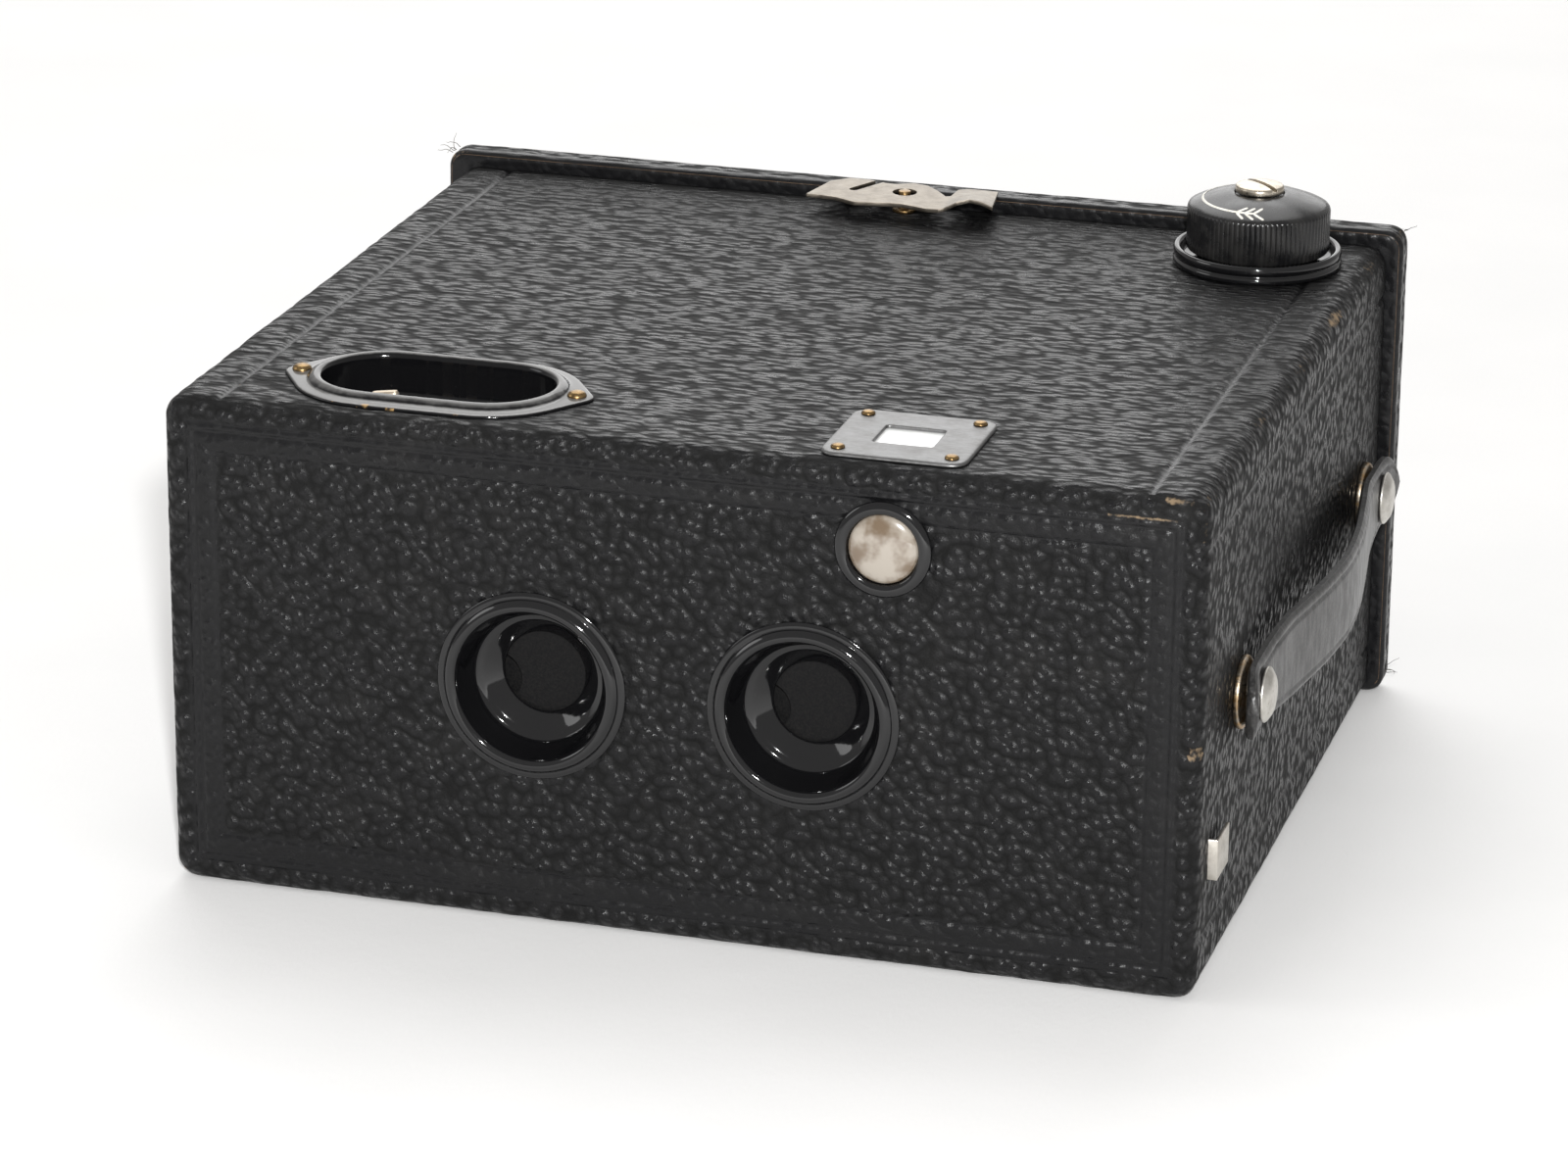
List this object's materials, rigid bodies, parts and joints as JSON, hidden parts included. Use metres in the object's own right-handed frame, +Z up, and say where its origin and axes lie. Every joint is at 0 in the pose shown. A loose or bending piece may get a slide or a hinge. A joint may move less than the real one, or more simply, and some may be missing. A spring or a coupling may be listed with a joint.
{
  "type": "stereo box camera",
  "caption": "Stereo roll-film box camera in black leatherette: side-by-side lenses, reflecting finder, winding knob, latched back and carrying strap.",
  "frame": {"origin": "centre of the case's underside, on the surface it stands on", "axes": "+X to the right as seen from in front of the lenses, +Y back from the lenses to the back cover, +Z up"},
  "size_m": [0.166, 0.139, 0.0892],
  "materials": {
    "leatherette": "pebbled black leatherette, satin",
    "wood": "plain softwood board, painted dull black inside",
    "black_enamel": "gloss black enamel on tin",
    "dull_black": "dull black paint",
    "nickel": "aged satin nickel plate",
    "steel": "plain steel",
    "brass": "tarnished brass",
    "glass": "clear lens glass",
    "ground_glass": "finely ground glass",
    "mirror": "silvered glass",
    "strap_leather": "worn black strap leather with creased edges",
    "ruby": "ruby celluloid",
    "spool_red": "painted spool"
  },
  "bodies": {
    "case": {"front_board": "wood", "top_board": "wood", "bottom_board": "wood", "left_board": "wood", "right_board": "wood", "front_leatherette": "leatherette", "body_leatherette": "leatherette", "bottom_leatherette": "leatherette", "left_lens_eyelet": "black_enamel", "right_lens_eyelet": "black_enamel", "finder_lens_rim": "black_enamel", "finder_lens": "glass", "finder_housing": "dull_black", "finder_mirror": "mirror", "finder_glass": "ground_glass", "finder_plate": "nickel", "escutcheon_pins": "brass", "lever_well": "black_enamel", "lever_spring": "brass", "shutter_plate": "dull_black", "shutter_pivots": "brass", "lens_board": "wood", "lens_cells": "brass", "lenses": "glass", "light_box_walls": "dull_black", "light_box_septum": "dull_black", "spool_partitions": "dull_black", "film_gate": "dull_black", "roller_strips": "nickel", "spool_pivots": "nickel", "spool_springs": "nickel", "winding_bush": "brass", "knob_flange": "black_enamel", "strap": "strap_leather", "strap_studs": "nickel", "strap_washers": "nickel", "latch_post": "brass", "body_hinge_leaf": "nickel", "hinge_pin": "steel"},
    "release_lever": {"release_lever": "nickel"},
    "left_blade": {"left_shutter_blade": "dull_black"},
    "right_blade": {"right_shutter_blade": "dull_black"},
    "link": {"shutter_link": "steel"},
    "time_slide": {"time_slide": "nickel"},
    "left_roller": {"left_film_roller": "nickel"},
    "right_roller": {"right_film_roller": "nickel"},
    "supply_spool": {"supply_spool": "spool_red"},
    "take_up_spool": {"take_up_spool": "spool_red"},
    "knob_carrier": {"thrust_washer": "brass"},
    "knob": {"winding_shaft": "nickel", "winding_knob": "black_enamel", "knob_screw": "nickel"},
    "back_cover": {"back_board": "wood", "back_leatherette": "leatherette", "back_lip": "dull_black", "pressure_plate": "dull_black", "pressure_springs": "nickel", "ruby_window": "ruby", "cover_hinge_leaf": "nickel"},
    "latch": {"latch_leaf": "nickel"}
  },
  "joints": [
    {"name": "release_lever_swing", "type": "hinge", "parent": "case", "child": "release_lever", "pos_m": [-0.041, -0.058, 0.03411], "axis": [0, 1, 0], "range_deg": [0, 16]},
    {"name": "left_blade_turn", "type": "hinge", "parent": "case", "child": "left_blade", "pos_m": [-0.0212, -0.05895, 0.0204], "axis": [0, 1, 0], "range_deg": [0, 54.4]},
    {"name": "right_blade_turn", "type": "hinge", "parent": "case", "child": "right_blade", "pos_m": [0.0198, -0.05895, 0.0204], "axis": [0, 1, 0], "range_deg": [0, 54.4]},
    {"name": "link_turn", "type": "hinge", "parent": "left_blade", "child": "link", "pos_m": [-0.01846, -0.058, 0.01506], "axis": [0, 1, 0], "range_deg": [-54.4, 0]},
    {"name": "time_slide_pull", "type": "slide", "parent": "case", "child": "time_slide", "axis": [1, 0, 0], "range_m": [0, 0.005]},
    {"name": "left_roller_spin", "type": "hinge", "parent": "case", "child": "left_roller", "pos_m": [-0.0465, 0.058, 0.038], "axis": [0, 0, 1], "continuous": true},
    {"name": "right_roller_spin", "type": "hinge", "parent": "case", "child": "right_roller", "pos_m": [0.0465, 0.058, 0.038], "axis": [0, 0, 1], "continuous": true},
    {"name": "supply_spool_spin", "type": "hinge", "parent": "case", "child": "supply_spool", "pos_m": [-0.06, 0.051, 0.038], "axis": [0, 0, 1], "continuous": true},
    {"name": "take_up_spool_spin", "type": "hinge", "parent": "case", "child": "take_up_spool", "pos_m": [0.06, 0.051, 0.038], "axis": [0, 0, 1], "continuous": true},
    {"name": "knob_lift", "type": "slide", "parent": "case", "child": "knob_carrier", "axis": [0, 0, 1], "range_m": [0, 0.008]},
    {"name": "knob_turn", "type": "hinge", "parent": "knob_carrier", "child": "knob", "pos_m": [0.06, 0.051, 0.08], "axis": [0, 0, 1], "continuous": true},
    {"name": "back_cover_open", "type": "hinge", "parent": "case", "child": "back_cover", "pos_m": [0, 0.0689, 0.0017], "axis": [-1, 0, 0], "range_deg": [0, 110]},
    {"name": "latch_lift", "type": "hinge", "parent": "back_cover", "child": "latch", "pos_m": [-0.015, 0.067, 0.0786], "axis": [0, -1, 0], "range_deg": [0, 12], "stiffness_Nm_per_rad": 0.08, "deforming": ["latch_leaf"]}
  ],
  "couplings": [
    {"joint": "left_blade_turn", "follows": "release_lever_swing", "ratio": 3.4},
    {"joint": "right_blade_turn", "follows": "release_lever_swing", "ratio": 3.4},
    {"joint": "link_turn", "follows": "release_lever_swing", "ratio": -3.4},
    {"joint": "take_up_spool_spin", "follows": "knob_turn", "ratio": 1}
  ]
}
